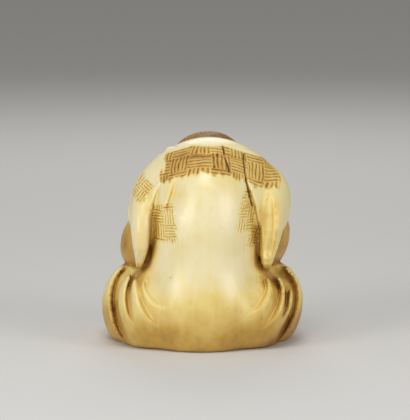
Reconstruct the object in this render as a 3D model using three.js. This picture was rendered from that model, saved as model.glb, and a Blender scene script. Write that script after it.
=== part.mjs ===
// A netsuke carved from one piece of ivory: a figure in a loose robe sits cross-legged with its
// back rounded and its head bowed, asleep over a full sack that it holds in its lap.
//
// The carving is described as a field: a function of a point that is negative inside the ivory
// and close to the distance from its surface in millimetres. Rounded forms are blended into one
// field, folds are cut along curves drawn on its surface, and the surface is then meshed.
//
// Units are millimetres. +Z is up, the figure faces -Y, and it sits on the plane Z = 0. Left and
// right are the figure's own, so its left is +X.
import * as THREE from "three";
import { MeshoptSimplifier } from "three/addons/libs/meshopt_simplifier.module.js";

// ---------------------------------------------------------------- driving dimensions
const LEAN = 0.035; // how far the figure leans to its right, per millimetre of height
const BASE_EDGE = 0.6; // radius of the edge between the sides and the flat underside
const HEAD = { at: [0, -4.9, 25.4], nod: 22 }; // centre of the head, and how far it nods, in degrees
const CORD_HOLE = { radius: 1.55, spacing: 8.2, depth: 4.4 }; // the cord's two holes in the underside

const LIP_REACH = 1.3; // how far from a fold's groove its lip dies away

const BLOCK = { low: [-17, -16, -1.2], high: [17, 14.6, 33.6] }; // the block that the field is sampled in
const SAMPLE = 0.5; // spacing of the samples
const TRIANGLES = 9600; // what the finished mesh is simplified to
const KEPT_AROUND = 0.8; // how far from a place that would pinch the fine triangles are kept

// ---------------------------------------------------------------- forms
const clamp = (t, low, high) => Math.min(high, Math.max(low, t));
const smoothstep = (low, high, t) => {
  const s = clamp((t - low) / (high - low), 0, 1);
  return s * s * (3 - 2 * s);
};

// An ellipsoid, or an egg where its radius below the centre is given too.
function ellipsoid([cx, cy, cz], [rx, ry, above], below = above) {
  return (x, y, z) => {
    const rz = z < cz ? below : above;
    const u = (x - cx) / rx;
    const v = (y - cy) / ry;
    const w = (z - cz) / rz;
    const near = Math.sqrt(u * u + v * v + w * w);
    const slope = Math.sqrt((u / rx) ** 2 + (v / ry) ** 2 + (w / rz) ** 2);
    return slope < 1e-9 ? -Math.min(rx, ry, rz) : (near * (near - 1)) / slope;
  };
}

// A limb: round at both ends, and tapered from one radius to the other.
function limb([ax, ay, az], [bx, by, bz], startRadius, endRadius = startRadius) {
  const [dx, dy, dz] = [bx - ax, by - ay, bz - az];
  const square = dx * dx + dy * dy + dz * dz;
  return (x, y, z) => {
    const t = clamp(((x - ax) * dx + (y - ay) * dy + (z - az) * dz) / square, 0, 1);
    const [ex, ey, ez] = [x - ax - t * dx, y - ay - t * dy, z - az - t * dz];
    return Math.sqrt(ex * ex + ey * ey + ez * ez) - startRadius - t * (endRadius - startRadius);
  };
}

// A rope along a smooth curve through the points, as thick at each point as its radius there.
function rope(points, radii, steps = 14) {
  const curve = new THREE.CatmullRomCurve3(points.map((p) => new THREE.Vector3(...p)));
  const thickness = (t) => {
    const place = Math.min(t * (radii.length - 1), radii.length - 1.001);
    const i = Math.floor(place);
    return radii[i] + (place - i) * (radii[i + 1] - radii[i]);
  };
  const stations = Array.from({ length: steps + 1 }, (_, i) => i / steps);
  const at = (t) => curve.getPoint(t).toArray();
  const stretch = (from, to) => limb(at(from), at(to), thickness(from), thickness(to));
  return union(...stations.slice(1).map((to, i) => stretch(stations[i], to)));
}

const union = (...fields) => (x, y, z) => Math.min(...fields.map((field) => field(x, y, z)));

function meet(a, b, radius) {
  const h = Math.max(radius - Math.abs(a - b), 0) / radius;
  return Math.min(a, b) - h * h * radius * 0.25;
}

// Joins the forms with a fillet of about the given radius.
function blend(radius, ...fields) {
  return (x, y, z) => fields.map((field) => field(x, y, z)).reduce((a, b) => meet(a, b, radius));
}

const cut = (radius, field, tool) => (x, y, z) => -meet(-field(x, y, z), tool(x, y, z), radius);
const both = (field) => (x, y, z) => field(Math.abs(x), y, z); // the same on the left and the right
const turned = (field, at, nod) => {
  const c = Math.cos(THREE.MathUtils.degToRad(nod));
  const s = Math.sin(THREE.MathUtils.degToRad(nod));
  // To the head's own axes: x sideways, y backwards, z up, about the head's centre.
  return (x, y, z) => {
    const [v, w] = [y - at[1], z - at[2]];
    return field(x - at[0], v * c - w * s, v * s + w * c);
  };
};
const stretched = (field, y0, share) => (x, y, z) => field(x, y0 + (y - y0) * share, z);

// Places about an axis: how far along it a point is, how far from it, and its angle about it.
function axis(at, way) {
  const ahead = new THREE.Vector3(...way).normalize();
  const side = new THREE.Vector3().crossVectors(ahead, new THREE.Vector3(0, 0, 1)).normalize();
  const up = new THREE.Vector3().crossVectors(side, ahead);
  return (x, y, z) => {
    const off = new THREE.Vector3(x - at[0], y - at[1], z - at[2]);
    const [a, b] = [off.dot(side), off.dot(up)];
    return { along: off.dot(ahead), away: Math.hypot(a, b), angle: Math.atan2(a, b) };
  };
}

// A cord tied round the axis.
function ring(at, way, radius, thick) {
  const about = axis(at, way);
  return (x, y, z) => {
    const { along, away } = about(x, y, z);
    return Math.hypot(along, away - radius) - thick;
  };
}

// Pleats that run out from the axis, strongest at the distance `near` from it.
function gathered(field, at, way, { count, depth, near, reach }) {
  const about = axis(at, way);
  return (x, y, z) => {
    const { away, angle } = about(x, y, z);
    const fade = smoothstep(0, near, away) * Math.exp(-Math.max(away - near, 0) / reach);
    return field(x, y, z) + depth * fade * Math.cos(count * angle);
  };
}

// ---------------------------------------------------------------- the robe and the body in it
function robe() {
  const back = ellipsoid([0, 0.9, 17.2], [8.7, 9.9, 13.6], 26);
  const seat = ellipsoid([0, 3.0, 5.4], [11.2, 8.3, 7.0], 6.8);
  const shoulders = ellipsoid([-0.3, -0.6, 20.0], [12.4, 7.4, 11.7], 6.5);
  return blend(2.5, blend(5, back, seat), shoulders);
}

function legs() {
  const thigh = ellipsoid([8.2, 2.0, 5.6], [5.9, 7.4, 6.2], 7.0);
  const knee = ellipsoid([9.7, -3.0, 5.7], [6.0, 8.2, 6.6], 8.2);
  const shin = limb([9.4, -7.6, 3.4], [1.2, -9.2, 2.1], 4.2, 3.0);
  const hem = ellipsoid([0, -4, 0], [9, 7.4, 3.6]);
  return blend(0.9, both(blend(0.9, blend(0.3, thigh, knee), shin)), hem);
}

// The toes of the right foot, out from under the robe.
function foot() {
  const sole = ellipsoid([-1.4, -12.0, 1.5], [3.4, 1.5, 1.6]);
  const toe = (i) => ellipsoid([-4.2 + 0.95 * i, -12.7 - 0.08 * i, 1.2], [0.52, 0.9, 0.75 - 0.06 * i]);
  return blend(0.25, sole, union(...[0, 1, 2, 3, 4].map(toe)));
}

// Each hanging sleeve's spine, from the shoulder to its tip, and how thick it is along the way.
const LEFT_SLEEVE = {
  spine: [
    [7.4, -0.6, 25.4], [8.9, 1.2, 24.0], [9.7, 2.6, 21.6],
    [9.8, 3.7, 18.6], [9.7, 4.2, 15.6], [9.75, 3.9, 12.3],
  ],
  thick: [1.5, 1.8, 1.85, 1.65, 1.2, 0.3],
};
const RIGHT_SLEEVE = {
  spine: [
    [-8.0, -0.8, 25.4], [-9.5, 1.0, 23.8], [-10.1, 2.6, 20.8],
    [-9.9, 3.7, 17.7], [-9.6, 4.2, 14.4], [-9.8, 3.9, 11.9],
  ],
  thick: [1.5, 2.1, 2.3, 1.9, 1.2, 0.3],
};

function sleeves() {
  const hang = ({ spine, thick }) => stretched(rope(spine, thick), 3.2, 0.62);
  const hanging = [LEFT_SLEEVE, RIGHT_SLEEVE].map(hang);
  const upperArm = limb([8.2, -2.2, 22.6], [8.9, -6.4, 20.4], 3.5, 2.7);
  const forearm = limb([8.9, -6.4, 20.4], [5.2, -9.6, 17.9], 2.7, 2.3);
  const cuff = ellipsoid([4.0, -10.7, 17.1], [1.9, 1.2, 1.5]);
  const arm = blend(1.6, upperArm, cut(0.4, forearm, cuff));
  const rightShoulder = ellipsoid([-8.8, -0.8, 21.4], [4.4, 5.0, 6.2]);
  return blend(1.0, blend(1.6, both(arm), rightShoulder), ...hanging);
}

// The collar, from the middle of the nape over each shoulder and down the chest.
const LEFT_COLLAR = [
  [0, 2.3, 30.3], [3.6, 1.6, 30.1], [6.4, 0.0, 29.1],
  [8.2, -2.4, 27.0], [8.4, -5.4, 23.4], [5.0, -8.6, 18.6],
];
const RIGHT_COLLAR = [
  [0, 2.3, 30.3], [-4.0, 1.7, 30.1], [-7.2, 0.2, 28.9],
  [-8.9, -2.2, 26.8], [-8.6, -5.4, 23.4], [-5.0, -8.6, 18.6],
];

function collar() {
  const thick = [0.56, 0.56, 0.6, 0.7, 0.75, 0.8];
  const knot = ellipsoid([5.8, -0.1, 29.9], [0.75, 0.7, 0.55]);
  return union(rope(LEFT_COLLAR, thick, 20), rope(RIGHT_COLLAR, thick, 20), knot);
}

// ---------------------------------------------------------------- the head, in its own axes
const HAIR_ROOM = 0.3; // how far the hair stands off the skull

const skull = (room) => ellipsoid([0, 0.5, 0.9], [6.2 + room, 6.8 + room, 5.8 + room]);

// Above zero on the hair's side of the hairline, which falls from the brow past the ears to the nape.
const hairline = (x, y, z) => (z - 3.1 + 0.72 * (y + 5.6) - 0.9 * Math.exp(-((x / 1.6) ** 2))) * 0.8;

function head() {
  const jaw = ellipsoid([0, -1.6, -2.3], [5.0, 4.9, 5.0]);
  const chin = ellipsoid([0, -4.9, -6.1], [1.8, 1.5, 1.3]);
  const cheek = both(ellipsoid([2.7, -4.2, -2.7], [2.1, 1.9, 1.9]));
  const hollow = both(ellipsoid([2.15, -7.2, -0.1], [1.7, 1.1, 1.1]));
  const face = cut(0.7, blend(1.3, skull(0), jaw, chin, cheek), hollow);
  const brow = both(rope([[1.0, -6.15, 1.0], [2.2, -6.0, 1.4], [3.8, -5.0, 0.9]], [0.24, 0.38, 0.26], 8));
  const eyelid = both(ellipsoid([2.15, -5.5, -0.35], [1.3, 0.85, 0.72]));
  const bridge = limb([0, -6.2, 0.9], [0, -7.0, -1.9], 0.42, 0.7);
  const tip = ellipsoid([0, -7.1, -2.2], [0.8, 0.8, 0.7]);
  const wing = both(ellipsoid([0.85, -6.6, -2.5], [0.5, 0.6, 0.45]));
  const nose = blend(0.3, bridge, tip, wing);
  const upperLine = [[0, -6.55, -4.1], [0.7, -6.45, -4.05], [1.5, -5.95, -4.3]];
  const lowerLine = [[-1.05, -6.05, -4.6], [0, -6.35, -4.75], [1.05, -6.05, -4.6]];
  const upperLip = both(rope(upperLine, [0.33, 0.32, 0.18], 8));
  const lowerLip = rope(lowerLine, [0.25, 0.38, 0.25], 8);
  const features = blend(0.45, face, brow, eyelid, nose, upperLip, lowerLip);
  const hair = cut(0.25, skull(HAIR_ROOM), hairline);
  const rim = rope([
    [5.6, -1.5, 0.0], [6.4, -0.9, 1.2], [6.7, 0.2, 1.4],
    [6.7, 1.0, 0.4], [6.3, 0.7, -1.2], [5.8, -0.1, -2.4],
  ], [0.4, 0.4]);
  const lobe = ellipsoid([5.75, -0.4, -2.9], [0.65, 0.75, 1.0]);
  const shell = ellipsoid([5.7, -0.1, -0.6], [0.6, 1.2, 1.7]);
  const ear = both(blend(0.3, rim, lobe, shell));
  return turned(blend(0.2, features, hair, ear), HEAD.at, HEAD.nod);
}

// ---------------------------------------------------------------- the hands and the sack
function hands() {
  const palm = ellipsoid([3.8, -10.2, 17.0], [1.9, 1.8, 1.25]);
  const fingers = [0.15, 0, 0.1, 0.5].map((short, i) => {
    const x = 2.25 + 0.98 * i;
    const fingertip = [0.95 * x, -12.9, 13.6 + short];
    const joints = [[x, -10.9, 17.1], [x, -12.1, 16.2], [0.97 * x, -12.7, 14.9], fingertip];
    return rope(joints, [0.56, 0.55, 0.52, 0.4], 9);
  });
  const thumb = rope([[2.6, -10.4, 17.3], [1.5, -11.4, 17.2], [0.7, -12.2, 16.3]], [0.62, 0.6, 0.46], 7);
  return both(blend(0.25, palm, union(...fingers), thumb));
}

// Where the sack is tied, and the way that its mouth points.
const KNOT = { at: [-2.0, -12.9, 11.2], way: [-0.44, -0.32, -0.84] };

function sack() {
  const { at, way } = KNOT;
  const along = (t) => at.map((c, i) => c + t * way[i]);
  const middle = ellipsoid([0, -6.0, 10.4], [10.4, 7.2, 7.2], 6.6);
  const left = ellipsoid([8.2, -3.8, 14.4], [4.9, 6.8, 6.0], 4.6);
  const right = ellipsoid([-8.1, -3.8, 16.4], [5.2, 6.8, 5.4], 6.4);
  const full = blend(2.5, middle, left, right);
  const body = gathered(full, at, way, { count: 11, depth: 0.3, near: 1.8, reach: 3.0 });
  const neck = limb([at[0] + 0.4, at[1] + 1.6, at[2] + 0.6], along(0.6), 1.5, 0.95);
  const frill = cut(0.2, limb(along(0.5), along(1.9), 0.9, 1.6), ellipsoid(along(3.6), [1.0, 1.0, 1.0]));
  const mouth = gathered(blend(0.5, neck, frill), at, way, { count: 9, depth: 0.1, near: 1.2, reach: 9 });
  return blend(0.5, body, blend(0.15, mouth, ring(along(0.5), way, 1.0, 0.34)));
}

// ---------------------------------------------------------------- folds
// A fold is a groove along a curve, deepest where the curve starts. The cloth on its outer side,
// away from the middle of the figure, stands up as a lip. Its points are given as (x, z), as they
// are seen from behind or from the front, and are then laid on the surface. After them come its
// width, its depth and its lip.
const BEHIND = 1;
const FRONT = -1;
const FOLDS = [
  // the left leg from behind: a fan of folds from the hip, the first one along the rim of the knee
  [BEHIND, [
    [11.4, 11.8], [12.9, 10.6], [13.8, 8.6], [13.8, 5.8], [13.0, 3.2], [11.7, 1.0], [10.9, -0.8],
  ], 0.65, 1.9, 1.0],
  [BEHIND, [[10.3, 11.6], [11.3, 10.0], [11.5, 8.2], [11.0, 5.8], [9.6, 3.4]], 0.7, 0.9, 1.1],
  [BEHIND, [[9.9, 11.6], [9.8, 9.4], [9.0, 7.2], [7.9, 5.6], [6.2, 4.0]], 0.75, 1.2, 1.3],
  [BEHIND, [[8.8, 11.6], [8.6, 9.6], [7.4, 8.1], [5.2, 7.3]], 0.75, 1.1, 1.2],
  // the right leg from behind
  [BEHIND, [
    [-11.5, 12.0], [-13.2, 10.5], [-14.3, 8.4], [-14.3, 5.8], [-13.2, 3.2], [-11.8, 1.0], [-11.0, -0.8],
  ], 0.6, 1.8, 1.0],
  [BEHIND, [[-11.0, 11.8], [-12.7, 9.9], [-13.0, 8.0], [-12.6, 6.0], [-11.3, 3.6]], 0.6, 0.9, 1.1],
  [BEHIND, [[-10.4, 11.4], [-11.7, 9.2], [-11.5, 7.1], [-10.5, 5.2], [-8.6, 3.2]], 0.75, 1.2, 1.3],
  [BEHIND, [[-9.0, 11.6], [-9.6, 9.5], [-8.8, 7.6], [-6.6, 5.8]], 0.75, 1.2, 1.2],
  // the gaps between the hanging sleeves and the back, from the sleeves' tips up
  [BEHIND, [[9.6, 11.6], [8.7, 14.6], [8.2, 17.0], [8.1, 20.5], [7.7, 23.4], [6.5, 26.8]], 0.35, 1.2, 0.5],
  [BEHIND, [
    [-8.8, 11.2], [-8.7, 14.4], [-8.3, 17.6], [-7.7, 20.6], [-6.8, 23.8], [-5.4, 27.0],
  ], 0.3, 1.3, 0.5],
  // short folds under the shoulders
  [BEHIND, [[6.0, 21.4], [5.4, 23.4], [4.9, 25.2], [4.3, 27.4]], 1.3, 0.5, 0.4],
  [BEHIND, [[-9.8, 14.0], [-10.2, 18.0], [-10.1, 21.4], [-9.3, 25.2]], 0.6, 1.2, 0.3],
  // the dark lines under the collar
  [BEHIND, [[-1.2, 29.8], [0, 29.85], [2.6, 29.7], [5.4, 28.9], [7.4, 27.5]], 0.16, 0.45, 0],
  [BEHIND, [[1.2, 29.8], [0, 29.85], [-2.8, 29.7], [-5.8, 28.9], [-8.6, 27.2]], 0.16, 0.45, 0],
  // the sleeves from the front
  [FRONT, [[9.6, 24.0], [9.2, 21.6], [7.4, 19.6]], 0.4, 0.8, 0.4],
  [FRONT, [[10.4, 21.4], [9.6, 19.2], [7.6, 17.9]], 0.4, 0.8, 0.4],
  [FRONT, [[-10.0, 24.0], [-9.4, 21.6], [-7.4, 19.6]], 0.4, 0.8, 0.4],
  [FRONT, [[-10.8, 21.4], [-9.8, 19.2], [-7.7, 17.9]], 0.4, 0.8, 0.4],
  // the knees from the front
  [FRONT, [[5.6, 7.2], [7.8, 6.4], [10.2, 4.6], [12.4, 1.8]], 0.5, 1.0, 0.5],
  [FRONT, [[3.2, 5.2], [5.6, 4.4], [7.8, 2.6], [9.0, 0.8]], 0.5, 1.0, 0.5],
  [FRONT, [[9.4, 8.2], [11.4, 7.4], [12.8, 5.2]], 0.5, 0.9, 0.5],
  [FRONT, [[-5.0, 6.6], [-7.6, 6.0], [-10.2, 3.8], [-11.6, 1.2]], 0.5, 1.0, 0.5],
  [FRONT, [[-9.0, 8.0], [-11.0, 7.6], [-13.0, 5.8], [-13.8, 3.4]], 0.5, 1.0, 0.5],
];

// Lays a fold's points on the field's surface by walking in from the side they are seen from.
function layOn(field, seenFrom, points, steps = 16) {
  const start = seenFrom === BEHIND ? BLOCK.high[1] : -BLOCK.high[1];
  const laid = points.map(([x, z]) => {
    let y = start;
    for (let step = 0; step < 80; step++) y -= 0.8 * seenFrom * field(x, y, z);
    return new THREE.Vector3(x, y, z);
  });
  return new THREE.CatmullRomCurve3(laid).getPoints(steps).map((p) => p.toArray());
}

// How far a point is from the curve, where along it, and how far to its outer side.
function nearestOn(along, x, y, z) {
  let nearest = Infinity;
  let place = 0;
  let side = 0;
  for (let i = 1; i < along.length; i++) {
    const [a, b] = [along[i - 1], along[i]];
    const [dx, dy, dz] = [b[0] - a[0], b[1] - a[1], b[2] - a[2]];
    const [ex, ey, ez] = [x - a[0], y - a[1], z - a[2]];
    const t = clamp((ex * dx + ey * dy + ez * dz) / (dx * dx + dy * dy + dz * dz), 0, 1);
    const square = (ex - t * dx) ** 2 + (ey - t * dy) ** 2 + (ez - t * dz) ** 2;
    if (square >= nearest) continue;
    nearest = square;
    place = (i - 1 + t) / (along.length - 1);
    side = ((ex * dz - ez * dx) / Math.hypot(dx, dz)) * Math.sign(a[0] * dz);
  }
  return { away: Math.sqrt(nearest), place, side };
}

function carve(field, folds) {
  const cuts = folds.map(([seenFrom, points, ...shape]) => [layOn(field, seenFrom, points), ...shape]);
  return (x, y, z) => {
    let value = field(x, y, z);
    if (Math.abs(value) > 3) return value;
    for (const [along, width, depth, lip] of cuts) {
      const { away, place, side } = nearestOn(along, x, y, z);
      if (away > 4 * LIP_REACH) continue;
      const taper = smoothstep(0, 0.12, place) * smoothstep(1, 0.5, place);
      const slope = width * (2.0 - 1.5 * smoothstep(-0.25, 0.25, side));
      const groove = depth * Math.exp(-away / slope);
      const raised = lip * smoothstep(0, 0.6, side) * Math.exp(-away / LIP_REACH);
      value += taper * (groove - raised);
    }
    return value;
  };
}

// ---------------------------------------------------------------- the whole carving
// The cord's passage: two holes in the underside, joined by a bend inside.
function cordPassage() {
  const { radius, spacing, depth } = CORD_HOLE;
  const half = spacing / 2;
  const bend = [[-half, 3, -1], [-half, 3, 1.2], [0, 3, depth], [half, 3, 1.2], [half, 3, -1]];
  return rope(bend, [radius, radius]);
}

function figure() {
  const cloth = blend(1.8, robe(), legs());
  const neckline = ellipsoid([0, -7.0, 26.5], [7.9, 6.4, 6.2]);
  const neck = ellipsoid([0, -2.8, 22.8], [7.3, 4.4, 3.4]);
  const opened = blend(0.6, cut(0.8, blend(0.5, cloth, sleeves()), neckline), neck);
  const dressed = blend(0.25, opened, collar());
  const folded = carve(blend(0.3, dressed, sack()), FOLDS);
  const whole = blend(0.2, folded, head(), hands(), foot());
  const underside = (x, y, z) => z;
  const flat = cut(BASE_EDGE, whole, underside);
  const drilled = cut(0.4, flat, cordPassage());
  return (x, y, z) => drilled(x + LEAN * z, y, z);
}

// ---------------------------------------------------------------- meshing
// Marching tetrahedra: each cube of the grid is six tetrahedra, and the surface crosses a
// tetrahedron in one triangle or two. Neighbours share their edges, so the mesh is closed.
const TURNS = [[0, 1, 2, 1], [1, 2, 0, 1], [2, 0, 1, 1], [0, 2, 1, -1], [2, 1, 0, -1], [1, 0, 2, -1]];
// Even orders of a tetrahedron's corners, with one corner first, or the two inside the ivory.
const LONE = [[0, 1, 2, 3], [1, 0, 3, 2], [2, 0, 1, 3], [3, 0, 2, 1]];
const PAIR = {
  "0,1": [0, 1, 2, 3],
  "0,2": [0, 2, 3, 1],
  "0,3": [0, 3, 1, 2],
  "1,2": [1, 2, 0, 3],
  "1,3": [1, 3, 2, 0],
  "2,3": [2, 3, 0, 1],
};

// The triangles in one tetrahedron, each corner of them on an edge between two of its corners.
function crossing(inside) {
  const ins = [0, 1, 2, 3].filter((c) => inside[c]);
  const outs = [0, 1, 2, 3].filter((c) => !inside[c]);
  if (ins.length === 0 || outs.length === 0) return [];
  if (ins.length === 2) {
    const [i, j, k, l] = PAIR[ins];
    return [[[i, k], [i, l], [j, l]], [[i, k], [j, l], [j, k]]];
  }
  const [i, j, k, l] = LONE[ins.length === 1 ? ins[0] : outs[0]];
  const triangle = [[i, j], [i, k], [i, l]];
  return [ins.length === 1 ? triangle : triangle.reverse()];
}

// Fills the pockets that the air outside doesn't reach.
function fillPockets(values, step) {
  const reached = new Uint8Array(values.length);
  const waiting = [0];
  while (waiting.length > 0) {
    const n = waiting.pop();
    for (const m of step.flatMap((s) => [n - s, n + s])) {
      if (reached[m] || !(values[m] > 0)) continue;
      reached[m] = 1;
      waiting.push(m);
    }
  }
  values.forEach((value, n) => {
    if (value > 0 && !reached[n]) values[n] = -value;
  });
}

function meshOf(field, { low, high }, size) {
  const count = low.map((l, i) => Math.ceil((high[i] - l) / size) + 1);
  const step = [1, count[0], count[0] * count[1]];
  const total = step[2] * count[2];
  const point = (n) => step.map((s, axis) => low[axis] + size * (Math.floor(n / s) % count[axis]));
  const values = Float32Array.from({ length: total }, (_, n) => field(...point(n)));
  fillPockets(values, step);

  const positions = [];
  const known = new Map();
  const vertexBetween = (a, b) => {
    const key = Math.min(a, b) * total + Math.max(a, b);
    if (!known.has(key)) {
      const t = clamp(values[a] / (values[a] - values[b]), 0.05, 0.95);
      const [p, q] = [point(a), point(b)];
      known.set(key, positions.length / 3);
      positions.push(...p.map((v, axis) => v + t * (q[axis] - v)));
    }
    return known.get(key);
  };

  const triangles = [];
  for (let n = 0; n < total - step[2] - step[1] - 1; n++) {
    if (count.some((c, axis) => Math.floor(n / step[axis]) % c === c - 1)) continue;
    for (const [a, b, c, hand] of TURNS) {
      const corner = [n, n + step[a], n + step[a] + step[b], n + step[a] + step[b] + step[c]];
      for (const triangle of crossing(corner.map((m) => values[m] <= 0))) {
        const [p, q, r] = triangle.map(([i, j]) => vertexBetween(corner[i], corner[j]));
        triangles.push(p, ...(hand > 0 ? [q, r] : [r, q]));
      }
    }
  }

  return { triangles, positions };
}

// ---------------------------------------------------------------- simplifying
// The vertices on edges that more than two triangles share, as they are where a surface pinches.
function pinches(triangles) {
  const uses = new Map();
  triangles.forEach((a, t) => {
    const b = triangles[t % 3 === 2 ? t - 2 : t + 1];
    const edge = `${Math.min(a, b)},${Math.max(a, b)}`;
    uses.set(edge, (uses.get(edge) ?? 0) + 1);
  });
  const shared = [...uses].filter(([, times]) => times !== 2);
  return shared.flatMap(([edge]) => edge.split(",").map(Number));
}

// Merges triangles where the surface is smooth, until few are left. Where that would pinch the
// surface it is done again with the fine triangles kept around that place.
function merged(triangles, positions) {
  const kept = new Uint8Array(positions.length / 3);
  const merge = () =>
    MeshoptSimplifier.simplifyWithAttributes(
      triangles, positions, 3, new Float32Array(0), 0, [], kept, TRIANGLES * 3, 1)[0];
  let few = merge();
  while (pinches(few).length > 0) {
    for (const pinched of pinches(few))
      for (let n = 0; n < kept.length; n++) {
        const away = [0, 1, 2].map((axis) => positions[3 * n + axis] - positions[3 * pinched + axis]);
        if (Math.hypot(...away) < KEPT_AROUND) kept[n] = 1;
      }
    few = merge();
  }
  return few;
}

// The simplified mesh, with the middle of its box over the origin.
function finished({ triangles, positions }) {
  const few = merged(Uint32Array.from(triangles), Float32Array.from(positions));
  const used = [...new Set(few)];
  const place = new Map(used.map((n, i) => [n, i]));
  const corners = used.flatMap((n) => positions.slice(3 * n, 3 * n + 3));
  const geometry = new THREE.BufferGeometry();
  geometry.setAttribute("position", new THREE.Float32BufferAttribute(corners, 3));
  geometry.setIndex([...few].map((n) => place.get(n)));
  geometry.computeBoundingBox();
  const middle = geometry.boundingBox.getCenter(new THREE.Vector3());
  return geometry.translate(-middle.x, -middle.y, 0);
}

await MeshoptSimplifier.ready;
const geometry = finished(meshOf(figure(), BLOCK, SAMPLE));

const ivory = new THREE.MeshStandardMaterial({ color: 0xe9dcae, roughness: 0.35, metalness: 0 });
const carving = new THREE.Mesh(geometry, ivory);
carving.name = "carved_figure";

const netsuke = new THREE.Group();
netsuke.add(carving);
export default netsuke;
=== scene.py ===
"""The netsuke's finished look: the ivory carving with its folds, woven pattern, hair and stains.

The carving is the same field as the solid's, sampled more finely. A field is a function of x, y
and z that is negative inside the ivory and close to the distance from its surface. Forms are
given in millimetres, and the finished mesh is set into the CAD solid's own box.
"""
import math

import bpy
import numpy as np
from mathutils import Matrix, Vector


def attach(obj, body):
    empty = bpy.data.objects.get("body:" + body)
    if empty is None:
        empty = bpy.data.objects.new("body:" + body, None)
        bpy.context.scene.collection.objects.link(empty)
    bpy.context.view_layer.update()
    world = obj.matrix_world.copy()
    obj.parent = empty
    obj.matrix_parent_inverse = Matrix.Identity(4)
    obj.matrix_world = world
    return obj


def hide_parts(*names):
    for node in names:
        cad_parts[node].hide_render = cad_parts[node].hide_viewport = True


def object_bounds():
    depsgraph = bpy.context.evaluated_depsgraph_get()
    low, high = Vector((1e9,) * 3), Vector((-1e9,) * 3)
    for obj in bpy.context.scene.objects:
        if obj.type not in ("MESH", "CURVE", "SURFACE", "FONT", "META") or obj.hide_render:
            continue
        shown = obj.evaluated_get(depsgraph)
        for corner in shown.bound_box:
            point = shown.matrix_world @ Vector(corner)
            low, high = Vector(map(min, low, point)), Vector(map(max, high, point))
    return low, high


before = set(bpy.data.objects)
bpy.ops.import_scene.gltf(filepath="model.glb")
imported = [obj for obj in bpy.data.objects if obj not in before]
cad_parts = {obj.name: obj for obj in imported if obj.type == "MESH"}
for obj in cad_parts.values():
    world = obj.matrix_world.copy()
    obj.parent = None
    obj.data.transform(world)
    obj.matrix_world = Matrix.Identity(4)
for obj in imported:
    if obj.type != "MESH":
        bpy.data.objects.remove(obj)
CAD_LOW, CAD_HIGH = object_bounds()

# ---------------------------------------------------------------- driving dimensions, in millimetres
LEAN = 0.035            # how far the figure leans to its right, per millimetre of height
BASE_EDGE = 0.6         # radius of the edge between the sides and the flat underside
HEAD_AT = (0.0, -4.9, 25.4)
HEAD_NOD = math.radians(22)
CORD_RADIUS = 1.55
CORD_SPACING = 8.2
CORD_DEPTH = 4.4
LIP_REACH = 1.3         # how far from a fold's groove its lip dies away

BLOCK_LOW = np.array([-17.0, -16.0, -1.2])
BLOCK_HIGH = np.array([17.0, 14.6, 33.6])
SAMPLE = 0.42           # spacing of the samples


# ---------------------------------------------------------------- forms
def smoothstep(low, high, t):
    s = np.clip((t - low) / (high - low), 0, 1)
    return s * s * (3 - 2 * s)


def ellipsoid(centre, radii, below=None):
    """An ellipsoid, or an egg where its radius below the centre is given too."""
    (cx, cy, cz), (rx, ry, above) = centre, radii

    def field(x, y, z):
        rz = above if below is None else np.where(z < cz, np.float32(below), np.float32(above))
        u, v, w = (x - cx) / rx, (y - cy) / ry, (z - cz) / rz
        near = np.sqrt(u * u + v * v + w * w)
        slope = np.sqrt((u / rx) ** 2 + (v / ry) ** 2 + (w / rz) ** 2)
        return near * (near - 1) / np.maximum(slope, 1e-9)

    return field


def limb(start, end, start_radius, end_radius=None):
    """A limb: round at both ends, and tapered from one radius to the other."""
    start, end = np.array(start, float), np.array(end, float)
    way = end - start
    square = way @ way
    growth = (start_radius if end_radius is None else end_radius) - start_radius

    def field(x, y, z):
        ex, ey, ez = x - start[0], y - start[1], z - start[2]
        t = np.clip((ex * way[0] + ey * way[1] + ez * way[2]) / square, 0, 1)
        away = np.sqrt((ex - t * way[0]) ** 2 + (ey - t * way[1]) ** 2 + (ez - t * way[2]) ** 2)
        return away - start_radius - t * growth

    return field


def smooth_curve(points, count):
    """count + 1 points along a centripetal Catmull-Rom curve through the points."""
    p = np.array(points, float)
    p = np.vstack([2 * p[0] - p[1], p, 2 * p[-1] - p[-2]])
    knots = np.sqrt(np.linalg.norm(np.diff(p, axis=0), axis=1))
    out = []
    for place in np.linspace(0, len(points) - 1, count + 1):
        i = min(int(place), len(points) - 2)
        t = place - i
        before, here, after = knots[i:i + 3]
        a, b, c, d = p[i:i + 4]
        start = here * ((b - a) / before - (c - a) / (before + here) + (c - b) / here)
        end = here * ((c - b) / here - (d - b) / (here + after) + (d - c) / after)
        bend = 3 * (c - b) - 2 * start - end
        twist = 2 * (b - c) + start + end
        out.append(b + t * start + t * t * bend + t ** 3 * twist)
    return np.array(out)


def rope(points, radii, steps=14):
    """A rope along a smooth curve through the points, as thick at each point as its radius there."""
    along = smooth_curve(points, steps)
    thick = np.interp(np.linspace(0, len(radii) - 1, steps + 1), range(len(radii)), radii)
    return union(*(limb(along[i], along[i + 1], thick[i], thick[i + 1]) for i in range(steps)))


def union(*fields):
    def field(x, y, z):
        value = fields[0](x, y, z)
        for other in fields[1:]:
            value = np.minimum(value, other(x, y, z))
        return value

    return field


def meet(a, b, radius):
    """The lesser of two values, rounded where they are close."""
    h = np.maximum(radius - np.abs(a - b), 0) / radius
    return np.minimum(a, b) - h * h * radius * 0.25


def blend(radius, *fields):
    """Joins the forms with a fillet of about the given radius."""
    def field(x, y, z):
        value = fields[0](x, y, z)
        for other in fields[1:]:
            value = meet(value, other(x, y, z), radius)
        return value

    return field


def cut(radius, field, tool):
    """Takes the tool's form out of the field's, with a rounded edge."""
    return lambda x, y, z: -meet(-field(x, y, z), tool(x, y, z), radius)


def both(field):
    """The same on the figure's left and on its right."""
    return lambda x, y, z: field(np.abs(x), y, z)


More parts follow.
